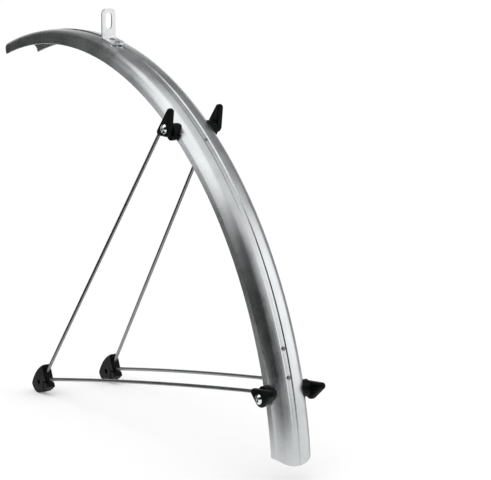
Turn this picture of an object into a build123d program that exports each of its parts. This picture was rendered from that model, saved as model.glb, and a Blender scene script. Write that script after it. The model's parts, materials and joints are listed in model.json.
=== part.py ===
from build123d import *
from math import asin, atan2, cos, degrees, hypot, radians, sin, sqrt
import os

# A front mudguard for a 28 inch wheel with narrow tyres, in millimetres.
# +X is forwards, +Y the rider's left and +Z up. Everything is drawn about the wheel's axle and then
# moved so that the origin is the middle of the bracket's slot, on the face that meets the fork.
# Angles about the axle start straight up and grow towards the rear.

# Blade: a formed strip with an arch section, a groove along its crown and tongue-shaped ends
EDGE_RADIUS = 346.0
BLADE_HEIGHT = 13.2
BLADE_WIDTH = 36.0
BLADE_WALL = 1.3
EDGE_BREAK = 0.3
CROWN_ARC = 60.0
SHOULDER_ARC = 10.0
GROOVE_FLAT = 4.2
GROOVE_SLOPE = 0.8
GROOVE_DEPTH = 0.9
FRONT_ANGLE = -19.1
REAR_ANGLE = 83.7
TONGUE_LENGTH = 8.5

# Fork bracket: an angle plate riveted to the crown
PLATE_X = -52.1
PLATE_WIDTH = 14.0
PLATE_RISE = 29.6
PLATE_THICK = 1.8
PLATE_CORNER = 5.0
BEND_RADIUS = 1.6
FOOT_LENGTH = 20.0
FOOT_CORNER = 4.5
SLOT_LENGTH = 14.8
SLOT_WIDTH = 6.4
SLOT_RISE = 18.6
RIVET_PITCH = 9.5
RIVET_END_MARGIN = 3.2

# Rivets
RIVET_SHANK = 3.2
BRACKET_RIVET_HEAD = 5.4
BRACKET_RIVET_RISE = 1.3
GROOVE_RIVET_HEAD = 4.0
GROOVE_RIVET_RISE = 0.7
RIVET_TAIL = 5.2
RIVET_TAIL_RISE = 1.0

# Bridges: steel straps across the inside of the blade that take the clip screws
BRIDGE_WALL = 1.6
BRIDGE_WIDTH = 14.0
BRIDGE_TONGUE = 11.0
BRIDGE_EDGE_SETBACK = 0.6
COLLAR_DIAMETER = 8.0
COLLAR_LENGTH = 3.0
TONGUE_END_MARGIN = 5.0

# Stay clips, with the pads below them and the screws through them
CLIP_RISE = 5.4
UPPER_CLIP_ANGLE = 33.4
LOWER_CLIP_ANGLE = 75.5
UPPER_RIVET_ANGLES = [37.3]
LOWER_RIVET_ANGLES = [69.4, 73.3]
BOSS_DIAMETER = 14.8
BOSS_HEIGHT = 3.8
BOSS_INSET = 5.0
BOSS_OFFSET = 2.8
BOSS_DROP = 1.6
CLIP_THICK = 6.0
CLIP_BODY_DIAMETER = 13.6
CLIP_BODY_OFFSET = 0.4
CLIP_MOUTH = 9.0
CLIP_MOUTH_DIAMETER = 6.4
FIN_LENGTH = 16.0
FIN_TIP_DIAMETER = 6.0
FIN_TIP_DROP = 1.2
CLIP_ROUNDING = 2.3
STAY_OFFSET = 5.5
SCREW_DIAMETER = 5.0
SCREW_HEAD = 9.2
SCREW_HEAD_RISE = 2.5
SCREW_SOCKET = 3.0
SCREW_SOCKET_DEPTH = 1.6
SCREW_SINK = 0.8

# Stays: wires from the release plugs to the clips
STAY_DIAMETER = 3.2
STAY_PAST_SCREW = 11.0
LOWER_STAY_BOW = 2.5

# Safety release: a housing that bolts to the fork end, and the plug that snaps into it
RELEASE_X = 16.0
RELEASE_Y = 36.7
RELEASE_Z = 26.0
RELEASE_THICK = 8.8
RELEASE_BOLT = 5.2
RELEASE_ROUNDING = 1.2
RELEASE_TOP = (-8.0, 18.3)
RELEASE_HEEL = (-14.6, 2.5)
RELEASE_BROW = (5.0, 9.8)
RELEASE_NOSE = (14.4, -4.0)
RELEASE_CHIN = (10.8, -8.8)
RELEASE_BASE = (-1.0, -10.4)
RELEASE_LIP = (-9.3, -7.4)
PLUG_THICK = 5.2
PLUG_DEPTH = 7.5
PLUG_TOE = 2.5
PLUG_TOP_MARGIN = 2.2
LUG_HEIGHT = 8.2
LUG_BULGE = 1.6
UPPER_STAY_DOWN = 6.2
LOWER_STAY_DOWN = 14.8
STAY_IN_PLUG = 5.0

# Clearances
SCREW_PLAY = 0.15
THREAD_PLAY = 0.03
RIVET_PLAY = 0.1
STAY_PLAY = 0.05
PLUG_PLAY = 0.15
LUG_GAP = 0.9
CUT = 5.0

HALF_WIDTH = BLADE_WIDTH / 2
CLIP_RADIUS = EDGE_RADIUS + CLIP_RISE
CROWN_RADIUS = EDGE_RADIUS + BLADE_HEIGHT
GROOVE_FLOOR = CROWN_RADIUS - GROOVE_DEPTH
RIB_FLOOR = GROOVE_FLOOR - BLADE_WALL
BRIDGE_FLOOR = RIB_FLOOR - BRIDGE_WALL
BOSS_FACE = HALF_WIDTH + BOSS_HEIGHT
CLIP_FACE = BOSS_FACE + CLIP_THICK
STAY_Y = BOSS_FACE + CLIP_THICK / 2
SCREW_SEAT = CLIP_FACE - SCREW_SINK
BRIDGE_HALF = HALF_WIDTH - BLADE_WALL
AXLE = Axis((0, 0, 0), (0, -1, 0))


def on_wheel(angle, radius):
    """The point at an angle and a radius about the axle."""
    return Vector(-radius * sin(radians(angle)), 0, radius * cos(radians(angle)))


def radial_plane(angle, radius):
    """A plane tangent to the wheel: local x is the left, y the rear and z away from the axle."""
    return Plane(on_wheel(angle, radius), x_dir=(0, 1, 0), z_dir=on_wheel(angle, 1))


def turned(section, start, end):
    """Turn a section in the YZ plane about the axle from one angle to another."""
    return revolve((Plane.YZ * section).rotate(AXLE, start), AXLE, end - start)


def arch_line(half_width, crown_radius, crown_arc, shoulder, foot_radius):
    """The open outline of an arch: a crowned top, round shoulders and straight walls."""
    across = half_width - shoulder
    rise = sqrt((crown_arc - shoulder) ** 2 - across**2)
    lift = crown_radius - crown_arc + rise
    grow = crown_arc / (crown_arc - shoulder)
    meet_y = across * grow
    meet_z = crown_radius - crown_arc + rise * grow
    half_turn = atan2(meet_z - lift, meet_y - across) / 2
    mid_y = across + shoulder * cos(half_turn)
    mid_z = lift + shoulder * sin(half_turn)
    edges = [ThreePointArc((-meet_y, meet_z), (0, crown_radius), (meet_y, meet_z))]
    for side in (-1, 1):
        knee = (side * half_width, lift)
        edges.append(ThreePointArc((side * meet_y, meet_z), (side * mid_y, mid_z), knee))
        edges.append(Line(knee, (side * half_width, foot_radius)))
    return edges


def strip_section(half_width, crown_radius, crown_arc, shoulder, wall, edge_radius):
    """The closed section of an arched strip of even thickness whose free edges are broken at 45 degrees."""
    break_edge = EDGE_BREAK * wall
    foot = edge_radius + break_edge
    outer = arch_line(half_width, crown_radius, crown_arc, shoulder, foot)
    inner = arch_line(half_width - wall, crown_radius - wall, crown_arc - wall, shoulder - wall, foot)
    ends = []
    for side in (-1, 1):
        ends.append(
            Polyline(
                (side * half_width, foot),
                (side * (half_width - break_edge), edge_radius),
                (side * (half_width - wall + break_edge), edge_radius),
                (side * (half_width - wall), foot),
            )
        )
    return make_face(outer + inner + ends)


def trapezium(half_low, low, half_high, high):
    """A symmetric four-sided section between two heights."""
    return make_face(
        Polyline((-half_low, low), (half_low, low), (half_high, high), (-half_high, high), close=True)
    )


def blade_filling(start, end):
    """The space that the blade's outside takes up over a stretch, filled in to well below its edges."""
    foot = EDGE_RADIUS - 2 * BLADE_HEIGHT
    outline = arch_line(HALF_WIDTH, CROWN_RADIUS, CROWN_ARC, SHOULDER_ARC, foot)
    outline.append(Line((-HALF_WIDTH, foot), (HALF_WIDTH, foot)))
    return turned(make_face(outline), start, end)


def end_cutter(angle, outwards):
    """What is cut from an end of the blade to leave a tongue; outwards is 1 at the rear, -1 in front."""
    past = HALF_WIDTH + CUT
    reach = outwards * (TONGUE_LENGTH + 2 * CUT)
    tongue = ThreePointArc((-HALF_WIDTH, 0), (0, outwards * TONGUE_LENGTH), (HALF_WIDTH, 0))
    frame = Polyline((HALF_WIDTH, 0), (past, 0), (past, reach), (-past, reach), (-past, 0), (-HALF_WIDTH, 0))
    block = extrude(make_face([tongue, frame]), BLADE_HEIGHT + 2 * CUT, dir=(0, 0, 1))
    return radial_plane(angle, EDGE_RADIUS - CUT) * block


def dome(radius, seat, rise):
    """The half outline of a spherical cap on local z, from its rim to its top; a negative rise hangs down."""
    ball = (radius**2 + rise**2) / (2 * abs(rise))
    half_turn = asin(radius / ball) / 2
    way = 1 if rise > 0 else -1
    middle = (ball * sin(half_turn), seat + rise - way * ball * (1 - cos(half_turn)))
    return ThreePointArc((radius, seat), middle, (0, seat + rise))


def rivet(head_seat, tail_seat, head, head_rise):
    """A rivet along local z, with a domed head above and a domed tail below."""
    shank = RIVET_SHANK / 2
    rim = RIVET_TAIL / 2
    outline = [
        dome(head / 2, head_seat, head_rise),
        Polyline((head / 2, head_seat), (shank, head_seat), (shank, tail_seat), (rim, tail_seat)),
        dome(rim, tail_seat, -RIVET_TAIL_RISE),
        Line((0, tail_seat - RIVET_TAIL_RISE), (0, head_seat + head_rise)),
    ]
    return revolve(Plane.XZ * make_face(outline), Axis.Z)


def rivet_hole():
    """A hole along local z for a rivet's shank."""
    return Cylinder(RIVET_SHANK / 2 + RIVET_PLAY / 2, 4 * BLADE_HEIGHT)


# Stay directions: each stay leaves the plug's rear face and passes its clip screw at STAY_OFFSET
rear_edge = Vector(RELEASE_HEEL[0] - RELEASE_TOP[0], 0, RELEASE_HEEL[1] - RELEASE_TOP[1]).normalized()
release_top = Vector(RELEASE_X + RELEASE_TOP[0], 0, RELEASE_Z + RELEASE_TOP[1])


class Stay:
    """A stay on the left: where it starts, how it runs and where its clip stands."""

    def __init__(self, down, clip_angle, bow):
        mouth = release_top + rear_edge * down
        screw = on_wheel(clip_angle, CLIP_RADIUS)
        away = screw - mouth
        slant = atan2(away.Z, away.X) - asin(STAY_OFFSET / hypot(away.X, away.Z))
        along = Vector(cos(slant), 0, sin(slant))
        above = Vector(along.Z, 0, -along.X)
        beside = screw + above * STAY_OFFSET
        lean = (STAY_Y - RELEASE_Y) / (beside - mouth).length
        heading = along + Vector(0, lean, 0)
        start = mouth + Vector(0, RELEASE_Y, 0) - heading * STAY_IN_PLUG
        end = beside + Vector(0, STAY_Y, 0) + heading * STAY_PAST_SCREW
        middle = (start + end) / 2 + above * bow
        self.path = ThreePointArc(start, middle, end) if bow else Line(start, end)
        self.clip_plane = Plane(screw, x_dir=along, z_dir=(0, 1, 0))
        self.clip_angle = clip_angle

    def rod(self, diameter, past=0.0):
        """The stay's wire, or the hole for it, which runs a little past both of its ends."""
        first, last = self.path @ 0, self.path @ 1
        back, onward = -(self.path % 0), self.path % 1
        rod = sweep(Plane(first, z_dir=-back) * Circle(diameter / 2), path=self.path)
        if past:
            for point, heading in ((first, back), (last, onward)):
                rod += extrude(Plane(point, z_dir=heading) * Circle(diameter / 2), past)
        return rod


upper = Stay(UPPER_STAY_DOWN, UPPER_CLIP_ANGLE, 0)
lower = Stay(LOWER_STAY_DOWN, LOWER_CLIP_ANGLE, LOWER_STAY_BOW)
stays = {"upper": upper, "lower": lower}
rivet_angles = {"upper": UPPER_RIVET_ANGLES, "lower": LOWER_RIVET_ANGLES}
parts = {}

# Fork bracket
foot_half = FOOT_LENGTH / 2
foot_angle = degrees(asin(-PLATE_X / CROWN_RADIUS) + foot_half / CROWN_RADIUS)
foot_plane = radial_plane(foot_angle, CROWN_RADIUS)
rearwards = foot_plane.y_dir
outwards = foot_plane.z_dir
foot_end = foot_plane.origin + rearwards * foot_half
slot_z = foot_plane.origin.Z + SLOT_RISE
plate_top = foot_plane.origin.Z + PLATE_RISE


def on_foot(x, height):
    """The point at an x on the line that lies a height above the foot's seat."""
    base = foot_plane.origin + outwards * height
    step = (x - base.X) / rearwards.X
    return (x, base.Z + rearwards.Z * step)


seat_end = foot_end - outwards * BLADE_WALL
top_end = foot_end + outwards * PLATE_THICK
bracket_outline = Polygon(
    (seat_end.X, seat_end.Z),
    (top_end.X, top_end.Z),
    on_foot(PLATE_X - PLATE_THICK, PLATE_THICK),
    (PLATE_X - PLATE_THICK, plate_top),
    (PLATE_X, plate_top),
    on_foot(PLATE_X, -BLADE_WALL),
    align=None,
)
inner_bend = bracket_outline.vertices().sort_by_distance((*on_foot(PLATE_X - PLATE_THICK, PLATE_THICK), 0))[0]
bracket_outline = fillet(inner_bend, BEND_RADIUS)
bracket = extrude(Plane.XZ * bracket_outline, PLATE_WIDTH / 2, both=True)
bracket = fillet(bracket.edges().filter_by(Axis.X).group_by(Axis.Z)[-1], PLATE_CORNER)
foot_corners = bracket.edges().filter_by(Axis((0, 0, 0), outwards)).group_by(Axis.X)[0]
bracket = fillet(foot_corners, FOOT_CORNER)
slot = Plane.YZ * SlotOverall(SLOT_LENGTH, SLOT_WIDTH, rotation=90)
bracket -= Pos(PLATE_X, 0, slot_z) * extrude(slot, CUT, both=True)
last_rivet = foot_half - RIVET_END_MARGIN
bracket_rivet_places = []
bracket_rivets = []
for along_foot in (last_rivet - RIVET_PITCH, last_rivet):
    place = foot_plane.location * Pos(0, along_foot, 0)
    bracket_rivet_places.append(place)
    bracket -= place * rivet_hole()
    tail_reach = abs(along_foot) + RIVET_TAIL / 2
    tail_seat = sqrt(RIB_FLOOR**2 - tail_reach**2) - CROWN_RADIUS - RIVET_PLAY
    bracket_rivets.append(place * rivet(PLATE_THICK, tail_seat, BRACKET_RIVET_HEAD, BRACKET_RIVET_RISE))
bracket -= blade_filling(foot_angle - 5, foot_angle + 5)
parts["fork_bracket"] = bracket
parts["bracket_rivets"] = Compound(bracket_rivets)

# Blade
section = strip_section(HALF_WIDTH, CROWN_RADIUS, CROWN_ARC, SHOULDER_ARC, BLADE_WALL, EDGE_RADIUS)
groove_low = GROOVE_FLAT / 2
groove_high = groove_low + 2 * GROOVE_SLOPE
rib_low = groove_low + BLADE_WALL / 2
section += trapezium(rib_low, RIB_FLOOR, rib_low + GROOVE_SLOPE, CROWN_RADIUS - BLADE_WALL / 2)
section -= trapezium(groove_low, GROOVE_FLOOR, groove_high, CROWN_RADIUS + GROOVE_DEPTH)
overrun = degrees((TONGUE_LENGTH + CUT) / EDGE_RADIUS)
blade = turned(section, FRONT_ANGLE - overrun, REAR_ANGLE + overrun)
blade -= end_cutter(FRONT_ANGLE, -1)
blade -= end_cutter(REAR_ANGLE, 1)
for place in bracket_rivet_places:
    blade -= place * rivet_hole()

# Bridges, with a threaded collar in each wall, and the rivets that hold them in the groove
strap = strip_section(
    BRIDGE_HALF,
    RIB_FLOOR,
    CROWN_ARC - BLADE_WALL,
    SHOULDER_ARC - BLADE_WALL,
    BRIDGE_WALL,
    EDGE_RADIUS + BRIDGE_EDGE_SETBACK,
)
strap_middle = Pos(0, (RIB_FLOOR + BRIDGE_FLOOR) / 2) * Rectangle(BRIDGE_TONGUE, BRIDGE_WALL)
half_strap = degrees(BRIDGE_WIDTH / 2 / RIB_FLOOR)
end_margin = degrees(TONGUE_END_MARGIN / RIB_FLOOR)
strap_filling = make_face(
    arch_line(BRIDGE_HALF, RIB_FLOOR, CROWN_ARC - BLADE_WALL, SHOULDER_ARC - BLADE_WALL, EDGE_RADIUS)
    + [Line((-BRIDGE_HALF, EDGE_RADIUS), (BRIDGE_HALF, EDGE_RADIUS))]
)
for name, stay in stays.items():
    angles = rivet_angles[name]
    middle = stay.clip_angle
    low_end = min(middle, min(angles) - end_margin)
    high_end = max(middle, max(angles) + end_margin)
    tongue = turned(strap_middle, low_end, high_end)
    groove_rivets = []
    for angle in angles:
        place = radial_plane(angle, CROWN_RADIUS)
        tongue -= place * rivet_hole()
        blade -= place * rivet_hole()
        tail_seat = BRIDGE_FLOOR - CROWN_RADIUS - RIVET_PLAY
        groove_rivet = rivet(-GROOVE_DEPTH, tail_seat, GROOVE_RIVET_HEAD, GROOVE_RIVET_RISE)
        groove_rivets.append(place * groove_rivet)
    bridge = turned(strap, middle - half_strap, middle + half_strap) + tongue
    place = stay.clip_plane
    for side in (-1, 1):
        collar = Cylinder(COLLAR_DIAMETER / 2, 2 * COLLAR_LENGTH)
        collar = place * Pos(0, 0, side * (BRIDGE_HALF - BRIDGE_WALL)) * collar
        bridge += collar & turned(strap_filling, middle - half_strap, middle + half_strap)
    bridge -= place * Cylinder(SCREW_DIAMETER / 2 + THREAD_PLAY, 2 * BLADE_WIDTH)
    blade -= place * Cylinder(SCREW_DIAMETER / 2 + SCREW_PLAY, 2 * BLADE_WIDTH)
    rivet_name = "rivet" if len(angles) == 1 else "rivets"
    parts[f"{name}_bridge"] = bridge
    parts[f"{name}_bridge_{rivet_name}"] = Compound(groove_rivets)
parts["blade"] = blade

# Release housing and plug, drawn about the fork end bolt
rear_inwards = Vector(-rear_edge.Z, 0, rear_edge.X)
top = Vector(RELEASE_TOP[0], 0, RELEASE_TOP[1])
heel = Vector(RELEASE_HEEL[0], 0, RELEASE_HEEL[1])
notch_z = RELEASE_HEEL[1]
housing_outline = make_face(
    [
        ThreePointArc(RELEASE_TOP, RELEASE_BROW, RELEASE_NOSE),
        ThreePointArc(RELEASE_NOSE, RELEASE_CHIN, RELEASE_BASE),
        Polyline(RELEASE_BASE, RELEASE_LIP, (RELEASE_LIP[0], notch_z), RELEASE_HEEL, RELEASE_TOP),
    ]
)
housing = extrude(Plane.XZ * housing_outline, RELEASE_THICK / 2, both=True)
rim = housing.edges().filter_by(lambda e: abs(abs(e.center().Y) - RELEASE_THICK / 2) < 1e-6)
housing = fillet(rim, RELEASE_ROUNDING)
pocket_top = top + rear_edge * PLUG_TOP_MARGIN
pocket_deep = pocket_top + rear_inwards * PLUG_DEPTH
pocket_floor = notch_z - LUG_GAP - PLUG_PLAY
pocket_outline = Polygon(
    (pocket_top.X, pocket_top.Z),
    (pocket_deep.X, pocket_deep.Z),
    (RELEASE_LIP[0] + PLUG_TOE, pocket_floor),
    (RELEASE_HEEL[0], pocket_floor),
    RELEASE_HEEL,
    align=None,
)
pocket_mouth = Polygon(
    (pocket_top.X, pocket_top.Z),
    RELEASE_HEEL,
    (RELEASE_HEEL[0] - CUT, notch_z),
    (pocket_top.X - CUT, pocket_top.Z),
    align=None,
)
housing -= extrude(Plane.XZ * (pocket_outline + pocket_mouth), PLUG_THICK / 2, both=True)
housing -= Rot(90, 0, 0) * Cylinder(RELEASE_BOLT / 2, 2 * RELEASE_THICK)
plug = extrude(
    Plane.XZ * offset(pocket_outline, -PLUG_PLAY, kind=Kind.INTERSECTION), PLUG_THICK / 2 - PLUG_PLAY, both=True
)
lug_top = notch_z - LUG_GAP
lug_outline = Polygon(
    (RELEASE_HEEL[0], lug_top),
    (RELEASE_HEEL[0] - LUG_BULGE, lug_top - 0.44 * LUG_HEIGHT),
    (RELEASE_LIP[0] - LUG_GAP, lug_top - LUG_HEIGHT),
    (RELEASE_LIP[0] - LUG_GAP, lug_top),
    align=None,
)
lug = extrude(Plane.XZ * lug_outline, RELEASE_THICK / 2, both=True)
plug += fillet(lug.edges().filter_by(Axis.Y), LUG_GAP / 2)
release_place = Pos(RELEASE_X, RELEASE_Y, RELEASE_Z)
housing = release_place * housing
plug = release_place * plug

# Stays, clips, pads and screws on the left, which the right mirrors
left = {}
for name, stay in stays.items():
    hole = stay.rod(STAY_DIAMETER + 2 * STAY_PLAY, STAY_PLAY)
    plug -= hole
    left[f"stay_{name}"] = stay.rod(STAY_DIAMETER)
    place = stay.clip_plane
    screw_hole = Cylinder(SCREW_DIAMETER / 2 + SCREW_PLAY, 4 * BLADE_WIDTH)
    filling = blade_filling(stay.clip_angle - 5, stay.clip_angle + 5)
    to_rivets = BOSS_OFFSET if rivet_angles[name][0] < stay.clip_angle else -BOSS_OFFSET
    boss = Pos(-BOSS_DROP, to_rivets, HALF_WIDTH - BOSS_INSET) * Cylinder(
        BOSS_DIAMETER / 2, BOSS_HEIGHT + BOSS_INSET, align=(Align.CENTER, Align.CENTER, Align.MIN)
    )
    left[f"stay_boss_{name}"] = place * (boss - screw_hole) - filling
    clip_outline = make_hull(
        (
            Pos(0, -CLIP_BODY_OFFSET) * Circle(CLIP_BODY_DIAMETER / 2)
            + Pos(-CLIP_MOUTH, STAY_OFFSET) * Circle(CLIP_MOUTH_DIAMETER / 2)
            + Pos(FIN_LENGTH, STAY_OFFSET - FIN_TIP_DROP) * Circle(FIN_TIP_DIAMETER / 2)
        ).edges()
    )
    clip = extrude(Pos(0, 0, BOSS_FACE) * clip_outline, CLIP_THICK)
    rims = clip.edges().group_by(Axis.Z)
    clip = fillet(rims[0] + rims[-1], CLIP_ROUNDING)
    clip -= screw_hole
    clip -= Pos(0, 0, SCREW_SEAT) * Cylinder(
        SCREW_HEAD / 2 + SCREW_PLAY, CUT, align=(Align.CENTER, Align.CENTER, Align.MIN)
    )
    left[f"stay_clip_{name}"] = place * clip - hole
    head_top = SCREW_SEAT + SCREW_HEAD_RISE
    tip = BRIDGE_HALF - BRIDGE_WALL - COLLAR_LENGTH - THREAD_PLAY
    screw_outline = [
        Polyline(
            (0, head_top),
            (0, tip),
            (SCREW_DIAMETER / 2, tip),
            (SCREW_DIAMETER / 2, SCREW_SEAT),
            (SCREW_HEAD / 2, SCREW_SEAT),
            (SCREW_HEAD / 2, SCREW_SEAT + 0.2 * SCREW_HEAD_RISE),
        ),
        ThreePointArc(
            (SCREW_HEAD / 2, SCREW_SEAT + 0.2 * SCREW_HEAD_RISE),
            (0.78 * SCREW_HEAD / 2, SCREW_SEAT + 0.72 * SCREW_HEAD_RISE),
            (0.55 * SCREW_HEAD / 2, head_top),
        ),
        Line((0.55 * SCREW_HEAD / 2, head_top), (0, head_top)),
    ]
    screw = revolve(Plane.XZ * make_face(screw_outline), Axis.Z)
    socket = RegularPolygon(SCREW_SOCKET / 2, 6, major_radius=False)
    screw -= Pos(0, 0, head_top) * extrude(socket, -SCREW_SOCKET_DEPTH)
    left[f"clip_screw_{name}"] = place * screw
left["release_housing"] = housing
left["release_plug"] = plug

for name, piece in left.items():
    parts[f"{name}_left"] = piece
    parts[f"{name}_right"] = mirror(piece, about=Plane.XZ)

os.makedirs("parts", exist_ok=True)
for name, piece in parts.items():
    export_step(Pos(-PLATE_X, 0, -slot_z) * piece, f"parts/{name}.step")
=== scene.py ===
import json
import math
import bpy
from mathutils import Matrix, Vector


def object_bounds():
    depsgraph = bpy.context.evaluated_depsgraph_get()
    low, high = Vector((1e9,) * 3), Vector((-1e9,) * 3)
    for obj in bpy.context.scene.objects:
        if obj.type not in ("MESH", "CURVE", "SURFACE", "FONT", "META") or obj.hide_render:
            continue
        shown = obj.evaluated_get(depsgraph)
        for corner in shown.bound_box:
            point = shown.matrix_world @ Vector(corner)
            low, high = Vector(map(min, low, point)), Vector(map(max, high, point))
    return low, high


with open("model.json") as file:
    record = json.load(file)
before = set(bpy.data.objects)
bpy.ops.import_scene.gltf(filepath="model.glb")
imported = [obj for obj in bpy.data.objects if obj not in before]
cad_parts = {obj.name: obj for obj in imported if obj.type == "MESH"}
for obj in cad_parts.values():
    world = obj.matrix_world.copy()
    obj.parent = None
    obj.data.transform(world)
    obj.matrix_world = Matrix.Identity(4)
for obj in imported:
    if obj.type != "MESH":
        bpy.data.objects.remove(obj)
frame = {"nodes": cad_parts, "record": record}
cad_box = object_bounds()
scene = bpy.context.scene

# The blade in the row frame, in metres: the wheel's axle, the crown's radius about it and half the width
AXLE = Vector((0.0521, 0.0, -0.372414))
CROWN_RADIUS = 0.3592
BLADE_HALF = 0.018

# The drawn section: a wide crown arc that runs into two shoulder arcs, with upright flanks below them
CROWN_ARC = 0.06
SHOULDER_ARC = 0.01
CROWN_CENTRE = CROWN_RADIUS - CROWN_ARC
SHOULDER_IN = BLADE_HALF - SHOULDER_ARC
SHOULDER_CENTRE = CROWN_CENTRE + math.sqrt((CROWN_ARC - SHOULDER_ARC) ** 2 - SHOULDER_IN**2)
CROWN_HALF = SHOULDER_IN * CROWN_ARC / (CROWN_ARC - SHOULDER_ARC)

# Its shading: the least rise of a flank's normal on a run of the shoulder arc's radius, the roll of the
# groove's edges on the rider's left and right, the distances from the middle where a roll starts, is full,
# fades and ends, and the turns from the drawn section above which only the mesh's own normal counts and
# below which only the drawn one does
FLANK_RISE = 0.003
LEFT_ROLL = 0.014
RIGHT_ROLL = 0.003
GROOVE_LINES = (0.0015, 0.0021, 0.0029, 0.0036)
OWN_TURN = math.radians(26)
DRAWN_TURN = math.radians(20)

# The brown band inside lies on the inner rib, below this radius, with a pale painted highlight on each side
BAND_CEILING = 0.3575
BAND_HALF = 0.0046
PAINTED_HIGHLIGHT_WIDTH = 0.0009
BAND_EDGE = 0.0001

# The levels between which most of a noise lies, and the weight of its finer steps
NOISE_SPAN = (0.3, 0.7)
NOISE_ROUGHNESS = 0.55

BLACK = (0.0, 0.0, 0.0, 1.0)
WHITE = (1.0, 1.0, 1.0, 1.0)

# The floor, and the even light of the studio
FLOOR_LEVEL = cad_box[0].z
FLOOR_HALF = 20.0
FLOOR_GREY = (0.86, 0.86, 0.86, 1.0)
FLOOR_ROUGHNESS = 0.9
FLOOR_GLOW = 0.24
AMBIENT_STRENGTH = 0.7
BACKGROUND_STRENGTH = 1.0

# Lamps and round cards stand around this point, and floor cards lie just above the floor
MIDDLE = Vector((-0.06, 0.0, -0.15))
CARD_DISTANCE = 1.3
CARD_STEPS = 12
CARD_LIFT = 0.001

# The camera stands where the photograph was taken from, and its lens is given in the photograph's pixels
CAMERA_PLACE = Vector((-1.8084, 1.0397, 0.214323))
CAMERA_AZIMUTH = 146.686
CAMERA_ELEVATION = 11.316
FOCAL_PIXELS = 2304.4
IMAGE_WIDTH = 491
SENSOR_WIDTH = 36.0


class Nodes:
    """Shortens the making of shader nodes in one material."""

    def __init__(self, name):
        self.material = bpy.data.materials.new(name)
        self.material.use_nodes = True
        self.tree = self.material.node_tree
        self.shader = self.tree.nodes["Principled BSDF"]

    def add(self, kind, **values):
        node = self.tree.nodes.new(kind)
        for key, value in values.items():
            setattr(node, key, value)
        return node

    def link(self, source, target):
        self.tree.links.new(source, target)

    def feed(self, socket, value):
        if isinstance(value, bpy.types.NodeSocket):
            self.link(value, socket)
        else:
            socket.default_value = value

    def set(self, **values):
        """Constants on the shader's own sockets, with _ for a space in a socket's name."""
        for key, value in values.items():
            self.shader.inputs[key.replace("_", " ")].default_value = value

    def math(self, operation, first, second=0.0, third=0.0):
        node = self.add("ShaderNodeMath", operation=operation)
        for socket, value in zip(node.inputs, (first, second, third)):
            self.feed(socket, value)
        return node.outputs[0]

    def vector(self, operation, first, second=None):
        """A vector sum, product or the like, of sockets or constants."""
        node = self.add("ShaderNodeVectorMath", operation=operation)
        self.feed(node.inputs[0], first)
        if second is not None:
            self.feed(node.inputs["Scale" if operation == "SCALE" else 1], second)
        return node.outputs["Value" if operation == "DOT_PRODUCT" else "Vector"]

    def combine(self, x=0.0, y=0.0, z=0.0):
        node = self.add("ShaderNodeCombineXYZ")
        for socket, value in zip(node.inputs, (x, y, z)):
            self.feed(socket, value)
        return node.outputs[0]

    def between(self, value, low, high, out_low=0.0, out_high=1.0):
        """A smooth step of a value from one level to another."""
        node = self.add("ShaderNodeMapRange", interpolation_type="SMOOTHSTEP")
        for key, number in (
            ("Value", value),
            ("From Min", low),
            ("From Max", high),
            ("To Min", out_low),
            ("To Max", out_high),
        ):
            self.feed(node.inputs[key], number)
        return node.outputs["Result"]

    def mix(self, factor, first, second):
        node = self.add("ShaderNodeMix", data_type="RGBA")
        self.feed(node.inputs[0], factor)
        self.feed(node.inputs[6], first)
        self.feed(node.inputs[7], second)
        return node.outputs[2]

    def noise(self, vector, scale, detail):
        node = self.add("ShaderNodeTexNoise")
        self.link(vector, node.inputs["Vector"])
        node.inputs["Scale"].default_value = scale
        node.inputs["Detail"].default_value = detail
        node.inputs["Roughness"].default_value = NOISE_ROUGHNESS
        return node.outputs["Fac"]

    def bump(self, height, distance, strength, normal=None):
        node = self.add("ShaderNodeBump")
        if normal is not None:
            self.link(normal, node.inputs["Normal"])
        self.link(height, node.inputs["Height"])
        node.inputs["Distance"].default_value = distance
        node.inputs["Strength"].default_value = strength
        self.link(node.outputs["Normal"], self.shader.inputs["Normal"])

    def place(self):
        """A point's place in the row frame."""
        return self.add("ShaderNodeTexCoord").outputs["Object"]

    def wheel_coordinates(self):
        """A point's distance from the axle, way round the wheel, place across it and outward direction."""
        offset = self.vector("SUBTRACT", self.place(), AXLE)
        parts = self.add("ShaderNodeSeparateXYZ")
        self.link(offset, parts.inputs[0])
        x, y, z = parts.outputs
        squares = self.math("ADD", self.math("MULTIPLY", x, x), self.math("MULTIPLY", z, z))
        radius = self.math("SQRT", squares)
        around = self.math("MULTIPLY", self.math("ARCTAN2", x, z), CROWN_RADIUS)
        outward = self.vector("NORMALIZE", self.vector("MULTIPLY", offset, (1, 0, 1)))
        return radius, around, y, outward


def rgb(hex_code):
    """A linear colour from an sRGB one."""
    values = [int(hex_code[i : i + 2], 16) / 255 for i in (1, 3, 5)]
    return tuple(v / 12.92 if v <= 0.04045 else ((v + 0.055) / 1.055) ** 2.4 for v in values) + (1.0,)


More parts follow.
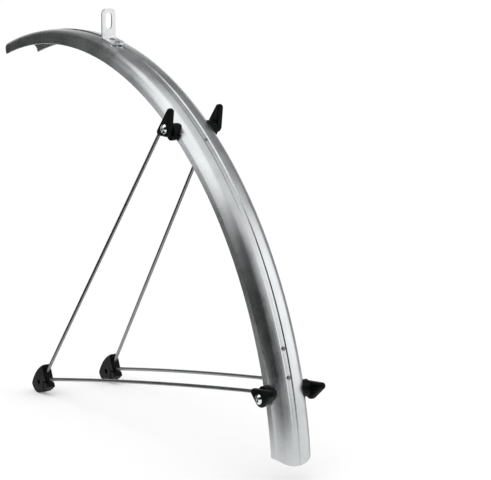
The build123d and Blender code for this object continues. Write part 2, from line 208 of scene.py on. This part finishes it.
def drawn_normal(n, radius, across, outward):
    """The smooth normal of the drawn section, with the mesh's own at cuts, holes and groove walls.

    It serves the outside and the inside. The flanks spring out a little at the free edges, and the groove's
    edges are rolled over."""
    side = n.math("SIGN", across)
    reach = n.math("ABSOLUTE", across)
    shoulder_across = n.math("MULTIPLY", side, n.math("SUBTRACT", reach, SHOULDER_IN))
    shoulder_up = n.math("MAXIMUM", n.math("SUBTRACT", radius, SHOULDER_CENTRE), FLANK_RISE)

    start, full, fading, end = GROOVE_LINES
    roll = n.math("MULTIPLY", n.between(reach, start, full), n.between(reach, fading, end, 1.0, 0.0))
    sided = n.math("MULTIPLY_ADD", side, (LEFT_ROLL + RIGHT_ROLL) / 2, (LEFT_ROLL - RIGHT_ROLL) / 2)
    crown_across = n.math("SUBTRACT", across, n.math("MULTIPLY", roll, sided))
    crown_up = n.math("SUBTRACT", radius, CROWN_CENTRE)

    on_crown = n.math("LESS_THAN", reach, CROWN_HALF)

    def choose(crown, shoulder):
        return n.math("MULTIPLY_ADD", on_crown, n.math("SUBTRACT", crown, shoulder), shoulder)

    sideways = n.combine(y=choose(crown_across, shoulder_across))
    upward = n.vector("SCALE", outward, choose(crown_up, shoulder_up))
    smooth = n.vector("NORMALIZE", n.vector("ADD", upward, sideways))

    surface = n.add("ShaderNodeNewGeometry")
    own = surface.outputs["Normal"]
    agreement = n.vector("DOT_PRODUCT", smooth, surface.outputs["True Normal"])
    on_skin = n.between(n.math("ABSOLUTE", agreement), math.cos(OWN_TURN), math.cos(DRAWN_TURN))
    faced = n.vector("SCALE", smooth, n.math("SIGN", agreement))
    change = n.vector("SCALE", n.vector("SUBTRACT", faced, own), on_skin)
    return n.vector("NORMALIZE", n.vector("ADD", own, change))


def blade_skin():
    """Satin silver: fine grain, faint lines along the strip, and a brown band inside edged by painted
    highlights.
    """
    line_stretch = (6, 2600, 2600)
    grain_scale = 5200
    cloud_scale = 38
    relief = 0.00001
    relief_strength = 0.14

    n = Nodes("satin_silver")
    radius, around, across, outward = n.wheel_coordinates()
    strip = n.combine(around, across, radius)
    lines = n.noise(n.vector("MULTIPLY", strip, line_stretch), 1.0, 2.0)
    grain = n.noise(strip, grain_scale, 2.0)
    cloud = n.noise(strip, cloud_scale, 4.0)
    silver = n.mix(n.between(cloud, *NOISE_SPAN), rgb("#c3c6c7"), rgb("#d3d5d6"))
    silver = n.mix(n.between(grain, 0.35, 0.75, 0.0, 0.35), silver, rgb("#a4a9ab"))

    centre = n.math("ABSOLUTE", across)
    inside = n.between(radius, BAND_CEILING, BAND_CEILING + BAND_EDGE, 1.0, 0.0)

    def on_rib(half):
        """1 on the inner rib, up to a distance from the middle of the blade."""
        return n.math("MULTIPLY", inside, n.between(centre, half, half + BAND_EDGE, 1.0, 0.0))

    # The band plus a pale strip along each side of it, a painted highlight for light caught at the band's
    # edges; all of it is non-metal
    band_and_painted_highlight = on_rib(BAND_HALF + PAINTED_HIGHLIGHT_WIDTH)
    brown = n.mix(n.between(lines, *NOISE_SPAN), rgb("#7d5443"), rgb("#936853"))
    colour = n.mix(on_rib(BAND_HALF), n.mix(band_and_painted_highlight, silver, rgb("#ddd8cf")), brown)
    n.link(colour, n.shader.inputs["Base Color"])
    n.link(n.math("SUBTRACT", 1.0, band_and_painted_highlight), n.shader.inputs["Metallic"])
    rough = n.between(lines, 0.25, 0.75, 0.26, 0.32)
    uneven = n.between(cloud, *NOISE_SPAN, -0.02, 0.03)
    n.link(n.math("ADD", rough, uneven), n.shader.inputs["Roughness"])
    height = n.math("ADD", n.math("MULTIPLY", lines, 0.6), n.math("MULTIPLY", grain, 0.4))
    n.bump(height, relief, relief_strength, drawn_normal(n, radius, across, outward))
    return n.material


def metal(name, pale, dark, smoothest, roughest, line_stretch):
    """Steel with fine lines along one direction and patches of uneven shine."""
    patch_scale = 220
    patch_change = 0.03
    relief = 0.00002
    relief_strength = 0.4

    n = Nodes(name)
    place = n.place()
    lines = n.noise(n.vector("MULTIPLY", place, line_stretch), 1.0, 3.0)
    patches = n.noise(place, patch_scale, 3.0)
    n.link(n.mix(n.between(lines, *NOISE_SPAN), rgb(dark), rgb(pale)), n.shader.inputs["Base Color"])
    n.set(Metallic=1.0)
    rough = n.between(lines, *NOISE_SPAN, smoothest, roughest)
    uneven = n.between(patches, *NOISE_SPAN, -patch_change, patch_change)
    n.link(n.math("ADD", rough, uneven), n.shader.inputs["Roughness"])
    n.bump(lines, relief, relief_strength)
    return n.material


def moulded_black():
    """Black plastic with a fine moulded grain and slightly rubbed patches."""
    grain_scale = 3200
    rub_scale = 160
    relief = 0.00004
    relief_strength = 0.5

    n = Nodes("moulded_black")
    place = n.place()
    grain = n.noise(place, grain_scale, 2.0)
    rubbed = n.noise(place, rub_scale, 4.0)
    colour = n.mix(n.between(rubbed, 0.4, 0.75), rgb("#0a0b0c"), rgb("#121314"))
    n.link(colour, n.shader.inputs["Base Color"])
    n.link(n.between(rubbed, 0.3, 0.75, 0.36, 0.5), n.shader.inputs["Roughness"])
    n.set(Specular_IOR_Level=0.08)
    n.bump(grain, relief, relief_strength)
    return n.material


def dress_nodes():
    """Gives each node the finish of its material slot, and the rivets a duller one."""
    skins = {
        "blade": blade_skin(),
        "bright_plate": metal("bright_plate", "#f6f7f8", "#eceeef", 0.36, 0.44, (900, 900, 30)),
        "wire": metal("drawn_wire", "#9c9e9f", "#8f9192", 0.3, 0.36, (2400, 2400, 2400)),
        "strap": metal("pressed_strip", "#d2d5d6", "#bcc0c2", 0.28, 0.38, (900, 40, 900)),
        "fastener": metal("bright_fastener", "#eceeef", "#d8dbdd", 0.12, 0.2, (1500, 1500, 1500)),
        "black_plastic": moulded_black(),
    }
    dull_rivet = metal("dull_rivet", "#8f9294", "#75787a", 0.34, 0.46, (1500, 1500, 1500))
    rivet_nodes = ("bracket_rivets", "upper_bridge_rivet", "lower_bridge_rivets")
    for part in frame["record"]["subparts"]:
        skin = dull_rivet if part["node"] in rivet_nodes else skins[part["material_slot"]]
        piece = frame["nodes"][part["node"]]
        piece.data.materials.clear()
        piece.data.materials.append(skin)


def sight_paths(tree):
    """1 for rays from the camera, and for those mirrored or passed on by metal and glass."""
    path = tree.nodes.new("ShaderNodeLightPath")
    total = path.outputs["Is Camera Ray"]
    for name in ("Is Glossy Ray", "Is Transmission Ray"):
        join = tree.nodes.new("ShaderNodeMath")
        join.operation = "MAXIMUM"
        tree.links.new(total, join.inputs[0])
        tree.links.new(path.outputs[name], join.inputs[1])
        total = join.outputs[0]
    return total


def floor_skin():
    n = Nodes("studio_floor")
    n.set(Base_Color=FLOOR_GREY, Roughness=FLOOR_ROUGHNESS, Specular_IOR_Level=0.0, Emission_Color=WHITE)
    n.link(n.math("MULTIPLY", sight_paths(n.tree), FLOOR_GLOW), n.shader.inputs["Emission Strength"])
    return n.material


def card_skin(name, strength):
    """An even glow, dark or bright, without a shine."""
    n = Nodes(name)
    n.set(Base_Color=BLACK, Specular_IOR_Level=0.0, Emission_Color=WHITE, Emission_Strength=strength)
    return n.material


def stage_mesh(name, points, faces, material):
    mesh = bpy.data.meshes.new(name)
    mesh.from_pydata(points, [], faces)
    mesh.materials.append(material)
    made = bpy.data.objects.new(name, mesh)
    scene.collection.objects.link(made)
    return made


def level_sheet(name, near, far, level, material):
    """A level rectangle between two opposite corners."""
    points = [
        (near[0], near[1], level),
        (far[0], near[1], level),
        (far[0], far[1], level),
        (near[0], far[1], level),
    ]
    return stage_mesh(name, points, [(0, 1, 2, 3)], material)


def light_world():
    """White to the camera and in reflections, and a softer light on everything else."""
    world = bpy.data.worlds.new("studio_world")
    scene.world = world
    world.use_nodes = True
    tree = world.node_tree
    tree.nodes.clear()
    blend = tree.nodes.new("ShaderNodeMixShader")
    tree.links.new(sight_paths(tree), blend.inputs[0])
    for socket, strength in zip(blend.inputs[1:], (AMBIENT_STRENGTH, BACKGROUND_STRENGTH)):
        background = tree.nodes.new("ShaderNodeBackground")
        background.inputs["Color"].default_value = WHITE
        background.inputs["Strength"].default_value = strength
        tree.links.new(background.outputs[0], socket)
    tree.links.new(blend.outputs[0], tree.nodes.new("ShaderNodeOutputWorld").inputs[0])


def heading(azimuth, elevation):
    """The unit direction of an azimuth and an elevation in degrees."""
    a = math.radians(azimuth)
    e = math.radians(elevation)
    return Vector((math.cos(a) * math.cos(e), math.sin(a) * math.cos(e), math.sin(e)))


def place_facing(name, data, place, back):
    """A lamp or camera at a place, with its back to a direction."""
    made = bpy.data.objects.new(name, data)
    made.matrix_world = Matrix.Translation(place) @ back.to_track_quat("Z", "Y").to_matrix().to_4x4()
    scene.collection.objects.link(made)
    return made


def softbox(name, azimuth, elevation, distance, width, height, power):
    lamp = bpy.data.lights.new(name, "AREA")
    lamp.shape = "RECTANGLE"
    lamp.size = width
    lamp.size_y = height
    lamp.energy = power
    back = heading(azimuth, elevation)
    place_facing(name, lamp, MIDDLE + back * distance, back)


def wide_sun(name, azimuth, elevation, spread, strength):
    lamp = bpy.data.lights.new(name, "SUN")
    lamp.angle = math.radians(spread)
    lamp.energy = strength
    place_facing(name, lamp, Vector(), heading(azimuth, elevation))


def reflected_only(made):
    made.visible_camera = False
    made.visible_diffuse = False
    made.visible_transmission = False
    made.visible_shadow = False


def round_card(name, strength, posts):
    """A studio card seen only in reflections: part of a sphere around the object.

    Each post is an azimuth with the elevations of the card's foot and top there, in degrees."""
    columns = []
    for first, second in zip(posts, posts[1:]):
        for i in range(CARD_STEPS):
            columns.append([u + (v - u) * i / CARD_STEPS for u, v in zip(first, second)])
    columns.append(posts[-1])
    points = []
    for azimuth, foot, top in columns:
        for j in range(CARD_STEPS + 1):
            elevation = foot + (top - foot) * j / CARD_STEPS
            points.append(MIDDLE + heading(azimuth, elevation) * CARD_DISTANCE)
    tall = CARD_STEPS + 1
    faces = []
    for i in range(len(columns) - 1):
        for j in range(CARD_STEPS):
            low = i * tall + j
            faces.append((low, low + tall, low + tall + 1, low + 1))
    reflected_only(stage_mesh(name, points, faces, card_skin(name, strength)))


def floor_card(name, strength, near, far):
    """A card that lies on the floor between two opposite corners and is seen only in reflections."""
    reflected_only(level_sheet(name, near, far, FLOOR_LEVEL + CARD_LIFT, card_skin(name, strength)))


def set_camera():
    camera = bpy.data.cameras.new("camera")
    camera.sensor_width = SENSOR_WIDTH
    camera.lens = SENSOR_WIDTH * FOCAL_PIXELS / IMAGE_WIDTH
    camera.clip_start = 0.05
    camera.clip_end = 100.0
    back = heading(CAMERA_AZIMUTH, CAMERA_ELEVATION)
    scene.camera = place_facing("camera", camera, CAMERA_PLACE, back)


dress_nodes()

# Floor, world and lamps
level_sheet("studio_floor", (-FLOOR_HALF, -FLOOR_HALF), (FLOOR_HALF, FLOOR_HALF), FLOOR_LEVEL, floor_skin())
light_world()
softbox("side", azimuth=-134, elevation=22, distance=1.7, width=1.2, height=1.2, power=3.0)
wide_sun("overhead", azimuth=80, elevation=66, spread=76, strength=0.7)

# Cards that give the metal its dark and bright parts
round_card("flag_ahead", 0.06, [(-4, 0, 60), (16, -6, 59), (47, -6, 54)])
round_card("flag_front", 0.24, [(-62, 28, 59), (-36, 27, 60), (-4, 10, 60)])
left_posts = [
    (47, -6, 8),
    (76, -8, 14),
    (96, -8, 32),
    (120, -8, 47),
    (150, -6, 58),
    (196, -6, 60),
    (206, -2, 48),
]
round_card("flag_left", 0.02, left_posts)
round_card("bounce_left", 1.7, [(55, 12, 46), (72, 15, 46), (80, 24, 42)])
round_card("flag_side", 0.28, [(-110, -8, 58), (-70, -8, 59), (-62, 20, 59)])
floor_card("card_near", 0.02, (-0.21, 0.08), (0.95, 0.85))
floor_card("card_far_side", 0.5, (-0.3, -0.1), (0.6, -1.0))

set_camera()
scene.view_settings.view_transform = "Standard"
